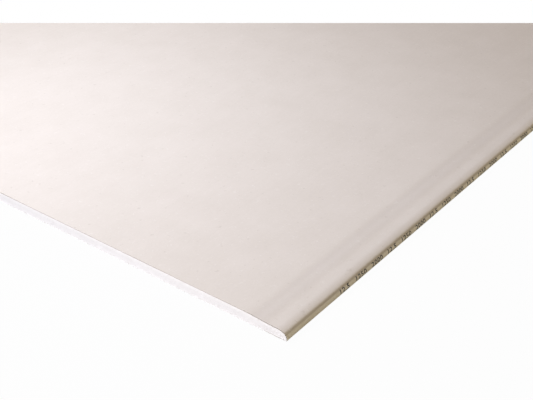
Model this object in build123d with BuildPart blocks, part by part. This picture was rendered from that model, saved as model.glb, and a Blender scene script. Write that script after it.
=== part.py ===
from build123d import *
from math import cos, radians, sin, tan
import os

# A drywall sheet: a gypsum core cast between two paper liners. The long edges are half-round and
# tapered, and the face paper is folded round them. The ends are cut square and show the core.
# Frame: origin under the middle of the sheet, X across the width, Y along the length, Z up through
# the face.

# Sheet
sheet_length = 2000.0
sheet_width = 1250.0
sheet_thickness = 12.5

# Tapered border of the face, measured inwards from the nose of the long edge
taper_width = 45.0
taper_depth = 1.75

# The taper rises in two gentle steps: where they turn, as shares of the border's width and depth
step_width_shares = (0.30, 0.54, 0.72)
step_depth_shares = (1.0, 0.59, 0.46)
ease_share = 0.33

# Half-round long edge: a gentle shoulder, the nose, a short upright and a tight heel at the back
shoulder_radius = 21.0
shoulder_turn = 22.0
upright_height = 1.0
heel_radius = 1.0

# Paper liners
paper_thickness = 0.4
flap_width = 25.0
back_paper_inset = 7.0

# Worked out from the sizes above
nose_x = sheet_width / 2
flap_x = nose_x - flap_width
land_height = sheet_thickness - taper_depth
shoulder_drop = shoulder_radius * (1 - cos(radians(shoulder_turn)))
nose_height = paper_thickness + heel_radius + upright_height
nose_radius = (land_height - shoulder_drop - nose_height) / cos(radians(shoulder_turn))
nose_reach = nose_radius * (1 - sin(radians(shoulder_turn)))
shoulder_reach = shoulder_radius * sin(radians(shoulder_turn))
land_x = nose_x - nose_reach - shoulder_reach
flat_x = nose_x - taper_width


def easing_radii(points):
    """Radius for each inner corner, as large as the shorter of its two runs allows."""
    radii = []
    for before, corner, after in zip(points, points[1:], points[2:]):
        run_in = Vector(*corner) - Vector(*before)
        run_out = Vector(*after) - Vector(*corner)
        half_turn = radians(run_in.get_angle(run_out)) / 2
        radii.append(ease_share * min(run_in.length, run_out.length) / tan(half_turn))
    return radii


def draw_paper_line():
    """Outer line of the face paper in the open BuildLine, from one folded flap to the other."""
    flap = Line((flap_x, paper_thickness), (nose_x - heel_radius, paper_thickness))
    heel = JernArc(flap @ 1, flap % 1, heel_radius, 90)
    upright = Line(heel @ 1, (nose_x, nose_height))
    nose = JernArc(upright @ 1, upright % 1, nose_radius, 90 - shoulder_turn)
    JernArc(nose @ 1, nose % 1, shoulder_radius, shoulder_turn)
    border = [(land_x, land_height)]
    for width_share, depth_share in zip(step_width_shares, step_depth_shares):
        step_x = land_x + width_share * (flat_x - land_x)
        border.append((step_x, sheet_thickness - depth_share * taper_depth))
    border.append((flat_x, sheet_thickness))
    border.append((0, sheet_thickness))
    FilletPolyline(*border, radius=easing_radii(border))
    mirror(about=Plane.YZ)


# Face paper: over the face, down the tapers, round the edges and under the back as two flaps
with BuildPart() as face_paper:
    with BuildSketch(Plane.XZ):
        with BuildLine():
            draw_paper_line()
            offset(amount=paper_thickness, side=Side.LEFT)
        make_face()
    extrude(amount=sheet_length / 2, both=True)
face_paper.part.label = "face_paper"

# Back paper: a flat strip that laps over the flaps and stops short of the edges
with BuildPart() as back_paper:
    with BuildSketch(Plane.XY):
        Rectangle(sheet_width - 2 * back_paper_inset, sheet_length)
    extrude(amount=paper_thickness)
back_paper.part.label = "back_paper"

# Gypsum core: fills the space between the papers, stepped up where the flaps lie
with BuildPart() as gypsum_core:
    with BuildSketch(Plane.XZ):
        with BuildLine():
            draw_paper_line()
            offset(amount=paper_thickness, side=Side.LEFT, closed=False)
            Polyline(
                (flap_x, 2 * paper_thickness),
                (flap_x, paper_thickness),
                (-flap_x, paper_thickness),
                (-flap_x, 2 * paper_thickness),
            )
        make_face()
    extrude(amount=sheet_length / 2, both=True)
gypsum_core.part.label = "gypsum_core"

os.makedirs("parts", exist_ok=True)
export_step(face_paper.part, "parts/face_paper.step")
export_step(back_paper.part, "parts/back_paper.step")
export_step(gypsum_core.part, "parts/gypsum_core.step")
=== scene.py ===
import math

import bmesh
import bpy
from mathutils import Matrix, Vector, noise


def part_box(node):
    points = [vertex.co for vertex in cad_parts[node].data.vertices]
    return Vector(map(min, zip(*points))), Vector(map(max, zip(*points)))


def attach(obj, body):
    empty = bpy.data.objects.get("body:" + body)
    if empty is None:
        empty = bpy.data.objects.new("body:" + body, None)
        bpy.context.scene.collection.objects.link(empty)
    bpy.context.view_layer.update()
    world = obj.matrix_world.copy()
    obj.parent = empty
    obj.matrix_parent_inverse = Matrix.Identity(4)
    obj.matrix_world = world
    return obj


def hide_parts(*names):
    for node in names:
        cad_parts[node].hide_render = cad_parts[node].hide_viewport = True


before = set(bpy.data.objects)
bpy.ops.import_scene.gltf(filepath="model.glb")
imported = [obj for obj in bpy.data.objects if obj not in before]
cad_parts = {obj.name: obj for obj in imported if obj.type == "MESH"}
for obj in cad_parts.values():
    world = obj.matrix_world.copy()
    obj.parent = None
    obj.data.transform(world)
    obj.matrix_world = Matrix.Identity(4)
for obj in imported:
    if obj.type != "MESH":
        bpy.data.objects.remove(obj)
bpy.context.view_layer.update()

# The scene is in metres. The sheet lies on the floor with its face up: X across the width, Y along the
# length. Its overall sizes come from the frame, and the sizes of its section are named here.
MM = 0.001

_, liner_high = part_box("face_paper")
_, back_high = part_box("back_paper")
nose_x = liner_high.x
half_length = liner_high.y
thickness = liner_high.z
paper = back_high.z
back_half_width = back_high.x

taper_width = 45.0 * MM
taper_depth = 1.75 * MM
step_width_shares = (0.30, 0.54, 0.72)
step_depth_shares = (1.0, 0.59, 0.46)
ease_share = 0.33
shoulder_radius = 21.0 * MM
shoulder_turn = math.radians(22.0)
upright_height = 1.0 * MM
heel_radius = 1.0 * MM
flap_width = 25.0 * MM

quarter_turn = math.pi / 2
land_height = thickness - taper_depth
shoulder_drop = shoulder_radius * (1 - math.cos(shoulder_turn))
nose_height = paper + heel_radius + upright_height
nose_radius = (land_height - shoulder_drop - nose_height) / math.cos(shoulder_turn)
nose_reach = nose_radius * (1 - math.sin(shoulder_turn))
shoulder_reach = shoulder_radius * math.sin(shoulder_turn)
land_x = nose_x - nose_reach - shoulder_reach
flat_x = nose_x - taper_width
flap_x = nose_x - flap_width

# How finely the meshes are divided
column_width = 0.75 * MM
core_rows = 17
nose_steps = 28
shoulder_steps = 14
border_turn_steps = 8
border_run_pieces = 3
flap_pieces = 20
heel_steps = 10
upright_pieces = 2
weld_distance = 0.002 * MM
sharp_angle = math.radians(40)

# The papers' ragged cut ends: how deep they are torn, in which waves and tufts, and the narrow band of
# paper that gives way for it
face_rag_depth = 0.22 * MM
back_rag_depth = 0.10 * MM
rag_band = 2.5 * MM
rag_middle = 0.5
rag_wave = 9.0 * MM
rag_wave_share = 0.30
rag_tuft = 1.6 * MM
rag_tuft_share = 0.35
rag_tuft_layer = 5.0
face_rag_seed = 3.0
back_rag_seed = 9.0

# Places of the finishes on a piece, and how squarely a face has to look along the sheet to be a cut end
whole_slot = 0
cut_slot = 1
end_facing = 0.5


class SectionPen:
    """Draws a line in the XZ plane as straight runs and tangent turns of one growing wire."""

    def __init__(self, bm, start, heading):
        self.bm = bm
        self.tip = bm.verts.new(start)
        self.heading = Vector(heading)

    def run(self, length, pieces):
        """Straight on for a length, in equal pieces."""
        for _ in range(pieces):
            made = bmesh.ops.extrude_vert_indiv(self.bm, verts=[self.tip])
            self.tip = made["verts"][0]
            bmesh.ops.translate(self.bm, verts=[self.tip], vec=self.heading * (length / pieces))

    def turn(self, radius, angle, steps):
        """Round an arc that leaves the line smoothly, to the left where the angle is positive."""
        left = Vector((-self.heading.z, 0, self.heading.x))
        centre = self.tip.co + left * math.copysign(radius, angle)
        made = bmesh.ops.spin(
            self.bm,
            geom=[self.tip],
            cent=centre,
            axis=(0, -1, 0),
            angle=angle,
            steps=steps,
            use_merge=False,
        )
        self.tip = only(made["geom_last"], bmesh.types.BMVert)[0]
        self.heading = self.heading * math.cos(angle) + left * math.sin(angle)


def only(geometry, kind):
    """The vertices, edges or faces among an operator's results."""
    return [part for part in geometry if isinstance(part, kind)]


def border_points():
    """Turning points of the tapered border, from the shoulder to the middle of the face."""
    points = [Vector((land_x, 0, land_height))]
    for width_share, depth_share in zip(step_width_shares, step_depth_shares):
        step_x = land_x + width_share * (flat_x - land_x)
        points.append(Vector((step_x, 0, thickness - depth_share * taper_depth)))
    points.append(Vector((flat_x, 0, thickness)))
    points.append(Vector((0, 0, thickness)))
    return points


def draw_nose(pen, inset):
    """From the nose of the long edge up over the shoulder."""
    pen.turn(nose_radius - inset, quarter_turn - shoulder_turn, nose_steps)
    pen.turn(shoulder_radius - inset, shoulder_turn, shoulder_steps)


def draw_border(pen, inset):
    """From the shoulder up the tapered border and across to the middle of the face."""
    points = border_points()
    spent = 0.0
    for before, corner, after in zip(points, points[1:], points[2:]):
        run_in, run_out = corner - before, after - corner
        turn = math.atan2(run_in.x * run_out.z - run_in.z * run_out.x, run_in.dot(run_out))
        tangent = ease_share * min(run_in.length, run_out.length)
        radius = tangent / math.tan(abs(turn) / 2)
        pen.run(run_in.length - spent - tangent, border_run_pieces)
        pen.turn(radius - math.copysign(inset, turn), turn, border_turn_steps)
        spent = tangent
    flat = (points[-1] - points[-2]).length - spent
    pen.run(flat, round(flat / column_width))


def mirror_about_middle(bm):
    """Adds the other half of the section and joins the two in the middle."""
    whole = bm.verts[:] + bm.edges[:] + bm.faces[:]
    bmesh.ops.mirror(bm, geom=whole, merge_dist=weld_distance, axis="X")
    bmesh.ops.remove_doubles(bm, verts=bm.verts, dist=weld_distance)


def sweep_along(bm, steps):
    """Draws the section's wire out along the sheet, one length after another."""
    edges = bm.edges[:]
    for step in steps:
        made = bmesh.ops.extrude_edge_only(bm, edges=edges)
        verts = only(made["geom"], bmesh.types.BMVert)
        bmesh.ops.translate(bm, verts=verts, vec=(0, step, 0))
        ahead = set(verts)
        edges = [edge for edge in only(made["geom"], bmesh.types.BMEdge) if ahead.issuperset(edge.verts)]


def paper_sheet(bm):
    """Makes a sheet of paper from the section's wire, with a narrow band at each cut end."""
    sweep_along(bm, (rag_band, 2 * (half_length - rag_band), rag_band))
    bmesh.ops.recalc_face_normals(bm, faces=bm.faces)


def rag(x, seed, depth):
    """How far a paper's cut edge is torn back at a place across the sheet."""
    wave = noise.noise((x / rag_wave, seed, 0.0))
    tuft = noise.noise((x / rag_tuft, seed, rag_tuft_layer))
    return depth * (rag_middle + rag_wave_share * wave + rag_tuft_share * tuft)


def tear_ends(bm, seed, depth):
    """Gives the two cut ends of a paper a slightly ragged line."""
    for vert in bm.verts:
        if abs(vert.co.y) > half_length - weld_distance:
            end = math.copysign(1.0, vert.co.y)
            vert.co.y -= end * max(rag(vert.co.x, seed + end, depth), 0.0)


def shade(bm, end_slot):
    """Smooth faces with hard edges, and the finish for the cut ends."""
    for face in bm.faces:
        face.smooth = True
        if abs(face.normal.y) > end_facing:
            face.material_index = end_slot
    for edge in bm.edges:
        edge.smooth = edge.calc_face_angle(0.0) < sharp_angle


def finish_piece(name, bm, finishes, replaced=None):
    """Turns a bmesh into a piece of the sheet, with its finishes, riding on the sheet's only body."""
    mesh = bpy.data.meshes.new(name)
    bm.to_mesh(mesh)
    bm.free()
    piece = bpy.data.objects.new(name, mesh)
    bpy.context.scene.collection.objects.link(piece)
    for finish in finishes:
        mesh.materials.append(finish)
    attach(piece, "root")
    if replaced:
        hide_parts(replaced)


def add_face_liner(finishes):
    """The face paper: across the face, down the tapered borders, round the noses and under the back."""
    bm = bmesh.new()
    pen = SectionPen(bm, (flap_x, -half_length, paper), (1, 0, 0))
    pen.run(flap_width - heel_radius, flap_pieces)
    pen.turn(heel_radius, quarter_turn, heel_steps)
    pen.run(upright_height, upright_pieces)
    draw_nose(pen, 0.0)
    draw_border(pen, 0.0)
    mirror_about_middle(bm)
    paper_sheet(bm)
    bmesh.ops.solidify(bm, geom=bm.faces[:], thickness=paper)
    tear_ends(bm, face_rag_seed, face_rag_depth)
    bmesh.ops.recalc_face_normals(bm, faces=bm.faces)
    shade(bm, cut_slot)
    finish_piece("face_liner", bm, finishes, "face_paper")


def add_back_liner(finishes):
    """The back paper: one flat width between the two long edges."""
    bm = bmesh.new()
    pen = SectionPen(bm, (back_half_width, -half_length, paper), (-1, 0, 0))
    pen.run(back_half_width, round(back_half_width / column_width))
    mirror_about_middle(bm)
    paper_sheet(bm)
    bmesh.ops.solidify(bm, geom=bm.faces[:], thickness=paper)
    tear_ends(bm, back_rag_seed, back_rag_depth)
    bmesh.ops.recalc_face_normals(bm, faces=bm.faces)
    shade(bm, cut_slot)
    finish_piece("back_liner", bm, finishes, "back_paper")


def core_underside(x):
    """Height of the core's underside: on the back paper, or on the folded flap near the long edge."""
    into_heel = abs(x) - (nose_x - heel_radius)
    if into_heel > 0:
        heel = heel_radius - paper
        rise = heel - math.sqrt(max(heel ** 2 - into_heel ** 2, 0.0))
        return 2 * paper + rise
    return 2 * paper if abs(x) > flap_x else paper


# The broken face of the gypsum where it is cut: hollows, grain and pores, shallower along the foot and
# in the denser plaster beside the long edges
hollow_size = 26.0 * MM
hollow_depth = 0.20 * MM
hollow_middle = 0.6
grain_size = 2.2 * MM
grain_depth = 0.10 * MM
grain_middle = 0.5
grain_layers = 3
grain_layer_scale = 2.0
grain_layer_fade = 0.6
pore_spacing = 4.5 * MM
pore_radius_share = 0.22
pore_depth = 0.45 * MM
foot_height = 1.6 * MM
foot_depth_share = 0.15
dense_width = 70.0 * MM
dense_depth_share = 0.3
relief_seed = 7.0


def cut_relief(x, z, seed):
    """How far the cut face of the core stands back at a place on the end of the sheet."""
    hollow = noise.noise((x / hollow_size, z / hollow_size, seed))
    grain_place = (x / grain_size, z / grain_size, seed)
    grain = noise.fractal(grain_place, grain_layer_fade, grain_layer_scale, grain_layers)
    distances, _ = noise.voronoi((x / pore_spacing, z / pore_spacing, seed))
    pore = max(1.0 - distances[0] / pore_radius_share, 0.0)
    broken = hollow_depth * (hollow_middle + hollow) + grain_depth * (grain_middle + grain)
    depth = broken + pore_depth * pore
    above_foot = min(max(z - core_underside(x), 0.0) / foot_height, 1.0)
    off_edge = min(max(nose_x - abs(x), 0.0) / dense_width, 1.0)
    foot_share = foot_depth_share + (1.0 - foot_depth_share) * above_foot
    edge_share = dense_depth_share + (1.0 - dense_depth_share) * off_edge
    return max(depth, 0.0) * foot_share * edge_share


def add_gypsum_body(finishes):
    """The gypsum core: a closed block in the papers' section, rough where it is cut at the two ends."""
    bm = bmesh.new()
    pen = SectionPen(bm, (nose_x - paper, -half_length, nose_height), (0, 0, 1))
    draw_nose(pen, paper)
    draw_border(pen, paper)
    rim_share = bm.verts.layers.float.new("rim_share")
    for vert in bm.verts:
        vert[rim_share] = 1.0
    made = bmesh.ops.extrude_edge_only(bm, edges=bm.edges[:])
    low_verts = set(only(made["geom"], bmesh.types.BMVert))
    for vert in low_verts:
        vert[rim_share] = 0.0
        vert.co.z = min(core_underside(vert.co.x), vert.co.z)
    upright = [edge for edge in bm.edges if (edge.verts[0] in low_verts) != (edge.verts[1] in low_verts)]
    bmesh.ops.subdivide_edges(bm, edges=upright, cuts=core_rows - 1, use_grid_fill=True)
    mirror_about_middle(bm)
    rim = [edge for edge in bm.edges if edge.is_boundary]
    far_end = bmesh.ops.duplicate(bm, geom=bm.faces[:])
    far_verts = only(far_end["geom"], bmesh.types.BMVert)
    bmesh.ops.translate(bm, verts=far_verts, vec=(0, 2 * half_length, 0))
    wall = bmesh.ops.extrude_edge_only(bm, edges=rim)
    bmesh.ops.translate(bm, verts=only(wall["geom"], bmesh.types.BMVert), vec=(0, 2 * half_length, 0))
    bmesh.ops.remove_doubles(bm, verts=bm.verts, dist=weld_distance)
    bmesh.ops.recalc_face_normals(bm, faces=bm.faces)
    for vert in bm.verts:
        end = math.copysign(1.0, vert.co.y)
        vert.co.y -= end * cut_relief(vert.co.x, vert.co.z, relief_seed * end)
    shade(bm, whole_slot)
    finish_piece("gypsum_body", bm, finishes, "gypsum_core")


# Plain size numbers printed along one long edge: their form, where they start, how they repeat and how
# thick the ink lies
numeral_height = 5.6 * MM
numeral_stretch = 1.3
numeral_weight = 0.022
numeral_spacing = 1.12
numeral_curve_steps = 4
numeral_foot = 1.7 * MM
numeral_start = 90.0 * MM
numeral_gap = 11.0 * MM
numeral_rows = 12
ink_lift = 0.03 * MM
ink_thickness = 0.02 * MM


def flat_numerals(words):
    """A line of numbers as a flat mesh, standing on its foot line at the wanted height."""
    letters = bpy.data.curves.new("numerals", "FONT")
    letters.body = words
    letters.offset = numeral_weight
    letters.space_character = numeral_spacing
    letters.resolution_u = numeral_curve_steps
    holder = bpy.data.objects.new("numerals", letters)
    mesh = bpy.data.meshes.new_from_object(holder)
    bm = bmesh.new()
    bm.from_mesh(mesh)
    bpy.data.objects.remove(holder)
    bpy.data.curves.remove(letters)
    bpy.data.meshes.remove(mesh)
    bmesh.ops.remove_doubles(bm, verts=bm.verts, dist=weld_distance)
    left = min(vert.co.x for vert in bm.verts)
    foot = min(vert.co.y for vert in bm.verts)
    top = max(vert.co.y for vert in bm.verts)
    size = numeral_height / (top - foot)
    bmesh.ops.translate(bm, verts=bm.verts, vec=(-left, -foot, 0))
    bmesh.ops.scale(bm, verts=bm.verts, vec=(size * numeral_stretch, size, size))
    return bm


def round_edge(along, up):
    """Where a point of the print lies on the upright and the nose of the long edge."""
    level = numeral_foot + up
    turn = max(level - nose_height, 0.0) / nose_radius
    x = nose_x - nose_radius + (nose_radius + ink_lift) * math.cos(turn)
    z = min(level, nose_height) + (nose_radius + ink_lift) * math.sin(turn)
    return (x, numeral_start - half_length + along, z)


def add_edge_numerals(finishes):
    """The sheet's own sizes, printed again and again round the nose of one long edge."""
    sizes = (f"{thickness / MM:.1f}", f"{2 * nose_x / MM:.0f}", f"{2 * half_length / MM:.0f}")
    bm = flat_numerals("   ".join(sizes))
    for row in range(1, numeral_rows):
        level = row * numeral_height / numeral_rows
        whole = bm.verts[:] + bm.edges[:] + bm.faces[:]
        bmesh.ops.bisect_plane(
            bm, geom=whole, plane_co=(0, level, 0), plane_no=(0, 1, 0), dist=weld_distance
        )
    group = bm.verts[:] + bm.edges[:] + bm.faces[:]
    pitch = max(vert.co.x for vert in bm.verts) + numeral_gap
    repeats = int(2 * (half_length - numeral_start) / pitch)
    for repeat in range(1, repeats):
        made = bmesh.ops.duplicate(bm, geom=group)
        verts = only(made["geom"], bmesh.types.BMVert)
        bmesh.ops.translate(bm, verts=verts, vec=(repeat * pitch, 0, 0))
    for vert in bm.verts:
        vert.co = round_edge(vert.co.x, vert.co.y)
    bm.normal_update()
    bmesh.ops.solidify(bm, geom=bm.faces[:], thickness=ink_thickness)
    bmesh.ops.recalc_face_normals(bm, faces=bm.faces)
    finish_piece("edge_numerals", bm, finishes)


class Value:
    """A socket that sums can use: arithmetic on it adds Math nodes to its tree."""

    def __init__(self, nodes, socket):
        self.nodes = nodes
        self.socket = socket

    def math(self, operation, first, second=0.0):
        """A Math node on one value or two."""
        return self.nodes.add("ShaderNodeMath", {"operation": operation}, {0: first, 1: second})

    def __add__(self, other):
        return self.math("ADD", self, other)

    def __radd__(self, other):
        return self.math("ADD", other, self)

    def __sub__(self, other):
        return self.math("SUBTRACT", self, other)

    def __rsub__(self, other):
        return self.math("SUBTRACT", other, self)

    def __mul__(self, other):
        return self.math("MULTIPLY", self, other)

    def __rmul__(self, other):
        return self.math("MULTIPLY", other, self)

    def __abs__(self):
        return self.math("ABSOLUTE", self)


# Middle of the soft noise, which runs from 0 to 1
noise_middle = 0.5


class NodeTree:
    """The nodes of a finish, of the floor or of the surroundings."""

    def __init__(self, owner):
        owner.use_nodes = True
        self.tree = owner.node_tree

    def add(self, kind, settings=None, sockets=None, output=0):
        """Any node: its type, its settings, what its sockets hold or take, and the output to use."""
        node = self.tree.nodes.new(kind)
        for name, setting in (settings or {}).items():
            setattr(node, name, setting)
        for key, held in (sockets or {}).items():
            self.feed(node.inputs[key], held)
        return Value(self, node.outputs[output])

    def feed(self, socket, held):
        """Links a value to a socket, or sets a constant on it."""
        if isinstance(held, Value):
            self.tree.links.new(held.socket, socket)
        else:
            socket.default_value = held

    def place(self):
        """Where a point of the piece is, in metres."""
        return self.add("ShaderNodeTexCoord", output="Object")

    def measure(self, place, axis):
        """One of the three measures of a place."""
        return self.add("ShaderNodeSeparateXYZ", None, {"Vector": place}, axis)

    def stretched(self, place, scale):
        """A place with its axes scaled, which stretches a pattern the other way."""
        return self.add("ShaderNodeMapping", {"vector_type": "POINT"}, {"Vector": place, "Scale": scale})

    def clouds(self, place, size, detail=2.0, roughness=0.5):
        """Soft noise with patches of about a size, from 0 to 1."""
        sockets = {"Vector": place, "Scale": 1 / size, "Detail": detail, "Roughness": roughness}
        return self.add("ShaderNodeTexNoise", {"noise_dimensions": "3D"}, sockets)

    def tone(self, *weighted):
        """A share for a blend, moved up and down from its middle by patterns with their weights."""
        share = noise_middle
        for pattern, weight in weighted:
            share = share + weight * (pattern - noise_middle)
        return share

    def step(self, value, levels):
        """A soft step: 0 below the lower of two levels, 1 above the higher one."""
        sockets = {"Value": value, "From Min": levels[0], "From Max": levels[1]}
        return self.add("ShaderNodeMapRange", {"interpolation_type": "SMOOTHSTEP"}, sockets)

    def blend(self, share, first, second):
        """A colour between two colours."""
        return self.add("ShaderNodeMix", {"data_type": "RGBA"}, {0: share, 6: first, 7: second}, 2)

    def relief(self, height, depth):
        """The normal of a surface with a fine relief of a depth in metres."""
        return self.add("ShaderNodeBump", None, {"Height": height, "Strength": 1.0, "Distance": depth})


# How weakly paper, gypsum and ink reflect
matt_gloss = 0.15


class Finish(NodeTree):
    """A material for the sheet: its nodes end in one Principled surface."""

    def __init__(self, name, roughness):
        self.material = bpy.data.materials.new(name)
        super().__init__(self.material)
        self.surface = self.tree.nodes["Principled BSDF"]
        self.surface.inputs["Roughness"].default_value = roughness
        self.surface.inputs["Specular IOR Level"].default_value = matt_gloss

    def set(self, **sockets):
        """Sets or links the surface's sockets, named with underscores for spaces."""
        for name, held in sockets.items():
            self.feed(self.surface.inputs[name.replace("_", " ")], held)
        return self.material


def solid(red, green, blue):
    """An opaque colour in linear light."""
    return (red, green, blue, 1.0)


# Face paper: colours, sizes of the patterns, and how strongly each pattern shows
ivory_shade = solid(0.705, 0.638, 0.578)
ivory_light = solid(0.775, 0.706, 0.652)
cloud_size = 45 * MM
cloud_weight = 0.9
streak_size = 7 * MM
streak_stretch = (1.0, 0.12, 1.0)
streak_weight = 0.4
fibre_size = 1.5 * MM
fibre_stretch = (1.0, 0.4, 1.0)
fibre_weight = 0.8
# Painted shade: a warm tan over the nose of the long edge, standing in for the warm colour of its shade
painted_shade_tan = solid(0.755, 0.685, 0.515)
painted_shade_tan_heights = (4.0 * MM, land_height)
# Painted shade: a dark brown line along the nose of the long edge, where it turns away from the key lamp
painted_terminator_brown = solid(0.49, 0.425, 0.315)
painted_terminator_height = 7.3 * MM
painted_terminator_reaches = (0.2 * MM, 1.7 * MM)
painted_terminator_share = 0.75
# Painted shade: a grey-purple tone on the slopes of the tapered border, deepening the shading of its dips
painted_border_shade = solid(0.30, 0.27, 0.36)
painted_border_shade_share = 0.075
border_foot_share = 0.4
border_foot_heights = (land_height, land_height + border_foot_share * taper_depth)
border_top_share = 0.3
border_top_heights = (thickness - border_top_share * taper_depth, thickness)
speck_brown = solid(0.42, 0.36, 0.30)
speck_size = 6.5 * MM
speck_levels = (0.66, 0.74)
speck_share = 0.20
fleck_white = solid(0.86, 0.81, 0.76)
fleck_size = 4.1 * MM
fleck_stretch = (1.0, 1.0, 3.0)
fleck_levels = (0.70, 0.80)
fleck_share = 0.35
hair_white = solid(0.90, 0.86, 0.82)
hair_size = 11 * MM
hair_levels = (0.004, 0.022)
hair_share = 0.26
hair_patch_size = 6 * MM
hair_patch_levels = (0.58, 0.66)
nap_depth = 0.05 * MM
nap_fibre_share = 0.6
nap_streak_share = 0.4


def face_paper_finish():
    """Ivory liner paper: clouds, fibres and specks, with painted shade greyer up the border, warm tan round
    the long edge and a dark line along it.
    """
    finish = Finish("face_paper_finish", roughness=0.85)
    place = finish.place()
    height = finish.measure(place, "Z")
    clouds = finish.clouds(place, cloud_size, detail=3.0, roughness=0.55)
    streak_place = finish.stretched(place, streak_stretch)
    streaks = finish.clouds(streak_place, streak_size, detail=3.0, roughness=0.6)
    fibre_place = finish.stretched(place, fibre_stretch)
    fibres = finish.clouds(fibre_place, fibre_size, detail=4.0, roughness=0.6)
    tone = finish.tone((clouds, cloud_weight), (streaks, streak_weight), (fibres, fibre_weight))
    base = finish.blend(tone, ivory_shade, ivory_light)
    # Painted shade: the nose of the long edge is tinted warm tan below the land
    edge = 1.0 - finish.step(height, painted_shade_tan_heights)
    shade_tinted = finish.blend(edge, base, painted_shade_tan)
    # Painted shade: the dark terminator line along the nose of the long edge
    terminator_shade = 1.0 - finish.step(abs(height - painted_terminator_height), painted_terminator_reaches)
    terminator_shaded = finish.blend(painted_terminator_share * terminator_shade, shade_tinted, painted_terminator_brown)
    # Painted shade on the slopes of the tapered border, patchy with the streaks
    above_land = finish.step(height, border_foot_heights)
    climb = above_land * (1.0 - finish.step(height, border_top_heights))
    border_shaded = finish.blend(painted_border_shade_share * climb * streaks, terminator_shaded, painted_border_shade)
    specks = finish.step(finish.clouds(place, speck_size, detail=2.0, roughness=0.6), speck_levels)
    specked = finish.blend(speck_share * specks, border_shaded, speck_brown)
    flat_place = finish.stretched(place, fleck_stretch)
    flecks = finish.step(finish.clouds(flat_place, fleck_size, detail=1.0), fleck_levels)
    flecked = finish.blend(fleck_share * flecks, specked, fleck_white)
    hair_clouds = finish.clouds(place, hair_size, detail=2.0, roughness=0.6)
    hairs = 1.0 - finish.step(abs(hair_clouds - noise_middle), hair_levels)
    sparse = finish.step(finish.clouds(place, hair_patch_size, detail=1.0), hair_patch_levels)
    haired = finish.blend(hair_share * hairs * sparse, flecked, hair_white)
    nap = finish.relief(nap_fibre_share * fibres + nap_streak_share * streaks, nap_depth)
    return finish.set(Base_Color=haired, Normal=nap)


# Cut edges of the papers: colours of each, and how they darken towards the long edges
face_cut_dark = solid(0.42, 0.37, 0.33)
face_cut_pale = solid(0.70, 0.64, 0.60)
face_cut_edge_darkening = 0.9
back_cut_dark = solid(0.82, 0.79, 0.79)
back_cut_pale = solid(0.92, 0.90, 0.90)
back_cut_edge_darkening = 0.12
cut_patch_size = 22 * MM
cut_patch_levels = (0.35, 0.65)
cut_patch_weight = 0.75
cut_fibre_size = 1.2 * MM
cut_fibre_weight = 0.5
cut_nap_depth = 0.1 * MM
edge_dark_brown = solid(0.08, 0.066, 0.056)
edge_dark_reach = 75 * MM
edge_dark_full_reach = 35 * MM
edge_dark_places = (nose_x - edge_dark_reach, nose_x - edge_dark_full_reach)
edge_dark_heights = (0.9 * MM, 2.5 * MM)
edge_dark_foot_share = 0.35
edge_dark_patch_share = 0.35


def cut_paper_finish(name, dark, pale, edge_darkening):
    """The cut edge of a liner: uneven along its length, darker towards the long edges, less so at the foot.
    """
    finish = Finish(name, roughness=0.95)
    place = finish.place()
    across = abs(finish.measure(place, "X"))
    height = finish.measure(place, "Z")
    patch_clouds = finish.clouds(place, cut_patch_size, detail=3.0, roughness=0.6)
    patches = finish.step(patch_clouds, cut_patch_levels)
    fibres = finish.clouds(place, cut_fibre_size, detail=3.0)
    tone = cut_patch_weight * patches + cut_fibre_weight * (fibres - noise_middle)
    colour = finish.blend(tone, dark, pale)
    # Darker brown towards the long edges, less so low down and in the paler patches
    near_edge = finish.step(across, edge_dark_places)
    raised = edge_dark_foot_share + (1.0 - edge_dark_foot_share) * finish.step(height, edge_dark_heights)
    darkening = edge_darkening * near_edge * raised * (1.0 - edge_dark_patch_share * patches)
    darkened = finish.blend(darkening, colour, edge_dark_brown)
    return finish.set(Base_Color=darkened, Normal=finish.relief(fibres, cut_nap_depth))


# Back paper: colours, sizes of the patterns, and how strongly each pattern shows
recycled_shade = solid(0.36, 0.305, 0.24)
recycled_light = solid(0.48, 0.415, 0.34)
recycled_cloud_size = 60 * MM
recycled_cloud_weight = 0.9
recycled_fibre_size = 1.8 * MM
recycled_fibre_stretch = (1.0, 0.35, 1.0)
recycled_fibre_weight = 1.4
dark_fleck = solid(0.16, 0.14, 0.12)
dark_fleck_size = 3.0 * MM
dark_fleck_levels = (0.66, 0.74)
pale_fleck = solid(0.66, 0.61, 0.53)
pale_fleck_size = 3.6 * MM
pale_fleck_levels = (0.68, 0.76)
back_fleck_share = 0.5
back_nap_depth = 0.06 * MM


def back_paper_finish():
    """Grey-brown recycled liner paper with pale and dark flecks."""
    finish = Finish("back_paper_finish", roughness=0.9)
    place = finish.place()
    clouds = finish.clouds(place, recycled_cloud_size, detail=3.0, roughness=0.55)
    fibre_place = finish.stretched(place, recycled_fibre_stretch)
    fibres = finish.clouds(fibre_place, recycled_fibre_size, detail=4.0, roughness=0.6)
    tone = finish.tone((clouds, recycled_cloud_weight), (fibres, recycled_fibre_weight))
    base = finish.blend(tone, recycled_shade, recycled_light)
    dark = finish.step(finish.clouds(place, dark_fleck_size, detail=1.0), dark_fleck_levels)
    specked = finish.blend(back_fleck_share * dark, base, dark_fleck)
    flat_place = finish.stretched(place, fleck_stretch)
    pale = finish.step(finish.clouds(flat_place, pale_fleck_size, detail=1.0), pale_fleck_levels)
    flecked = finish.blend(back_fleck_share * pale, specked, pale_fleck)
    return finish.set(Base_Color=flecked, Normal=finish.relief(fibres, back_nap_depth))


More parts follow.
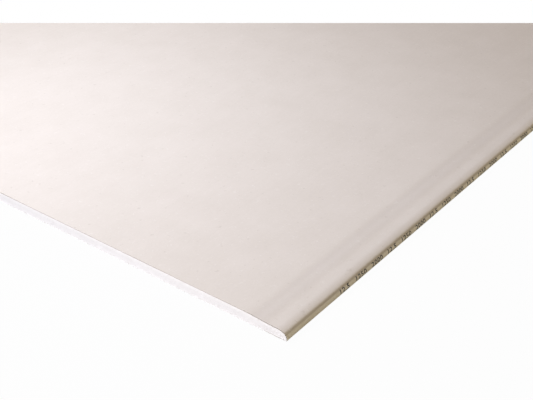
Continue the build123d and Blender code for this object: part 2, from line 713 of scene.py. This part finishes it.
# Gypsum: colours of its body, of the paler band below the face, of the darker band right under the face
# paper and of its pits
gypsum_shade = solid(0.785, 0.762, 0.770)
gypsum_light = solid(0.880, 0.854, 0.864)
gypsum_cloud_size = 18 * MM
gypsum_cloud_weight = 0.8
gypsum_grain_size = 0.9 * MM
gypsum_grain_weight = 0.45
gypsum_band = solid(0.915, 0.885, 0.888)
gypsum_band_levels = (0.50, 0.88)
gypsum_band_share = 0.75
gypsum_top_dark = solid(0.70, 0.65, 0.63)
gypsum_top_dark_levels = (0.895, 0.960)
pit_grey = solid(0.52, 0.50, 0.49)
pit_size = 1.3 * MM
pit_levels = (0.68, 0.76)
pit_share = 0.25
pit_share_lost_at_edge = 0.20
pit_relief_share = 0.5
gypsum_grain_depth = 0.08 * MM


def gypsum_finish():
    """White cast gypsum, chalky, with fine pores that thin out beside the long edges."""
    finish = Finish("gypsum_finish", roughness=0.95)
    place = finish.place()
    clouds = finish.clouds(place, gypsum_cloud_size, detail=3.0, roughness=0.55)
    grain = finish.clouds(place, gypsum_grain_size, detail=4.0, roughness=0.65)
    tone = finish.tone((clouds, gypsum_cloud_weight), (grain, gypsum_grain_weight))
    base = finish.blend(tone, gypsum_shade, gypsum_light)
    rim_share = finish.add("ShaderNodeAttribute", {"attribute_name": "rim_share"}, output="Fac")
    band = gypsum_band_share * finish.step(rim_share, gypsum_band_levels)
    banded = finish.blend(band, base, gypsum_band)
    # A darker band at the top of the cut core, right under the face paper
    top_darkened = finish.blend(finish.step(rim_share, gypsum_top_dark_levels), banded, gypsum_top_dark)
    pores = finish.step(finish.clouds(place, pit_size, detail=0.0), pit_levels)
    across = abs(finish.measure(place, "X"))
    dense = finish.step(across, (nose_x - dense_width, nose_x))
    pitted = finish.blend(pores * (pit_share - pit_share_lost_at_edge * dense), top_darkened, pit_grey)
    chalk = finish.relief(grain - pit_relief_share * pores, gypsum_grain_depth)
    return finish.set(Base_Color=pitted, Normal=chalk)


# Ink of the numbers
ink_dark = solid(0.045, 0.045, 0.046)
ink_worn = solid(0.20, 0.18, 0.15)
ink_wear_size = 1.4 * MM
ink_wear_levels = (0.35, 0.8)


def ink_finish():
    """Dark grey printing ink, thin in places."""
    finish = Finish("ink_finish", roughness=0.8)
    wear = finish.clouds(finish.place(), ink_wear_size, detail=3.0, roughness=0.6)
    colour = finish.blend(finish.step(wear, ink_wear_levels), ink_dark, ink_worn)
    return finish.set(Base_Color=colour)


# Camera, lamps, floor and surroundings. The camera and four of the lamps are placed from the near corner
# of the sheet, and the other two lamps from its middle.
near_corner = Vector((nose_x, -half_length, 0))
picture_width = 533
picture_height = 400
picture_top_row = 23
camera_place = near_corner + Vector((0.39297, -0.53863, 0.55343))
camera_yaw = math.radians(37.743)
camera_pitch = math.radians(30.9)
focal_pixels = 917.12
sensor_width = 36.0

key_place = near_corner + Vector((-0.90, -0.12, 0.87))
key_bearing = math.radians(64.1)
key_heading = Vector((math.sin(key_bearing), math.cos(key_bearing), -0.119))
key_size = (0.5, 0.5)
key_power = 20.3
key_colour = (0.821, 0.885, 1.0)
left_place = near_corner + Vector((-1.90, 0.89, 1.115))
left_heading = Vector((0.451, 0, -1))
left_size = (2.4, 0.3)
left_spread = math.radians(80)
left_power = 7.4
left_colour = (0.90, 0.942, 1.0)
fill_place = near_corner + Vector((0.1, -1.2, 0.401))
fill_heading = near_corner - fill_place
fill_size = (0.4, 0.4)
fill_power = 11.4
fill_colour = (1.0, 1.0, 0.993)
side_place = near_corner + Vector((1.288, 1.5, 0.3))
side_heading = near_corner + Vector((0, 0.3, 0)) - side_place
side_size = (0.5, 0.5)
side_power = 8.2
side_colour = (1.0, 0.966, 0.82)
far_place = Vector((0, half_length + 0.6, 0.5))
far_heading = Vector((0, -1, -0.55))
far_size = (1.5, 0.3)
far_spread = math.radians(80)
far_power = 1.7
far_colour = (1.0, 0.935, 0.81)
back_place = Vector((0, half_length - 0.26, 1.2))
back_heading = Vector((0, 0, -1))
back_size = (2.0, 1.0)
back_spread = math.radians(50)
back_power = 1.84
back_colour = (1.0, 0.982, 0.955)
sky_colour = solid(0.136, 0.088, 0.049)
floor_side = 12.0
floor_colour = solid(0.5, 0.5, 0.5)
floor_glow_share = 0.97
white = solid(1.0, 1.0, 1.0)


def add_camera():
    """The view of the sheet: level, looking down over its near corner, clipped near the picture's top."""
    lens = bpy.data.cameras.new("camera")
    lens.sensor_width = sensor_width
    lens.lens = focal_pixels / picture_width * sensor_width
    top_slope = (picture_height / 2 - picture_top_row) / focal_pixels
    fall = math.sin(camera_pitch) - top_slope * math.cos(camera_pitch)
    lens.clip_end = (camera_place.z - thickness) / fall
    camera = bpy.data.objects.new("camera", lens)
    camera.location = camera_place
    camera.rotation_euler = (quarter_turn - camera_pitch, 0, camera_yaw)
    bpy.context.scene.collection.objects.link(camera)
    bpy.context.scene.camera = camera


def add_soft_box(name, place, heading, size, power, colour, spread=math.pi):
    """A soft box that faces along its heading, with a grid in front of it where its spread is narrower."""
    light = bpy.data.lights.new(name, "AREA")
    light.shape = "RECTANGLE"
    light.size, light.size_y = size
    light.spread = spread
    light.energy = power
    light.color = colour
    lamp = bpy.data.objects.new(name, light)
    lamp.location = place
    lamp.rotation_euler = heading.to_track_quat("-Z", "Y").to_euler()
    bpy.context.scene.collection.objects.link(lamp)


def seen_directly(nodes):
    """1 for rays that show the background to the eye, straight or by way of a shiny or clear surface."""
    camera = nodes.add("ShaderNodeLightPath", output="Is Camera Ray")
    glossy = nodes.add("ShaderNodeLightPath", output="Is Glossy Ray")
    through = nodes.add("ShaderNodeLightPath", output="Is Transmission Ray")
    return nodes.step(camera + glossy + through, (0.0, 1.0))


def add_floor():
    """A plain pale floor that takes the sheet's shadow."""
    bm = bmesh.new()
    bmesh.ops.create_grid(bm, x_segments=1, y_segments=1, size=floor_side / 2)
    mesh = bpy.data.meshes.new("floor")
    bm.to_mesh(mesh)
    bm.free()
    floor = bpy.data.objects.new("floor", mesh)
    bpy.context.scene.collection.objects.link(floor)
    material = bpy.data.materials.new("floor_finish")
    mesh.materials.append(material)
    nodes = NodeTree(material)
    matt = nodes.add("ShaderNodeBsdfDiffuse", None, {"Color": floor_colour})
    glow = nodes.add("ShaderNodeEmission", None, {"Color": white, "Strength": 1.0})
    share = floor_glow_share * seen_directly(nodes)
    mixed = nodes.add("ShaderNodeMixShader", None, {0: share, 1: matt, 2: glow})
    nodes.feed(nodes.tree.nodes["Material Output"].inputs["Surface"], mixed)


def add_surroundings():
    """A soft warm sky, white where it is seen."""
    world = bpy.data.worlds.new("surroundings")
    bpy.context.scene.world = world
    nodes = NodeTree(world)
    sky = nodes.add("ShaderNodeBackground", None, {"Color": sky_colour, "Strength": 1.0})
    seen = nodes.add("ShaderNodeBackground", None, {"Color": white, "Strength": 1.0})
    mixed = nodes.add("ShaderNodeMixShader", None, {0: seen_directly(nodes), 1: sky, 2: seen})
    nodes.feed(nodes.tree.nodes["World Output"].inputs["Surface"], mixed)


def main():
    """The four pieces of the sheet, then the camera, the lamps, the floor and the surroundings."""
    face_cut = cut_paper_finish("face_cut_finish", face_cut_dark, face_cut_pale, face_cut_edge_darkening)
    back_cut = cut_paper_finish("back_cut_finish", back_cut_dark, back_cut_pale, back_cut_edge_darkening)
    add_face_liner((face_paper_finish(), face_cut))
    add_back_liner((back_paper_finish(), back_cut))
    add_gypsum_body((gypsum_finish(),))
    add_edge_numerals((ink_finish(),))
    add_camera()
    add_soft_box("key_box", key_place, key_heading, key_size, key_power, key_colour)
    add_soft_box("left_box", left_place, left_heading, left_size, left_power, left_colour, left_spread)
    add_soft_box("fill_box", fill_place, fill_heading, fill_size, fill_power, fill_colour)
    add_soft_box("side_box", side_place, side_heading, side_size, side_power, side_colour)
    add_soft_box("far_box", far_place, far_heading, far_size, far_power, far_colour, far_spread)
    add_soft_box("back_box", back_place, back_heading, back_size, back_power, back_colour, back_spread)
    add_floor()
    add_surroundings()
    bpy.context.scene.view_settings.view_transform = "Standard"


main()
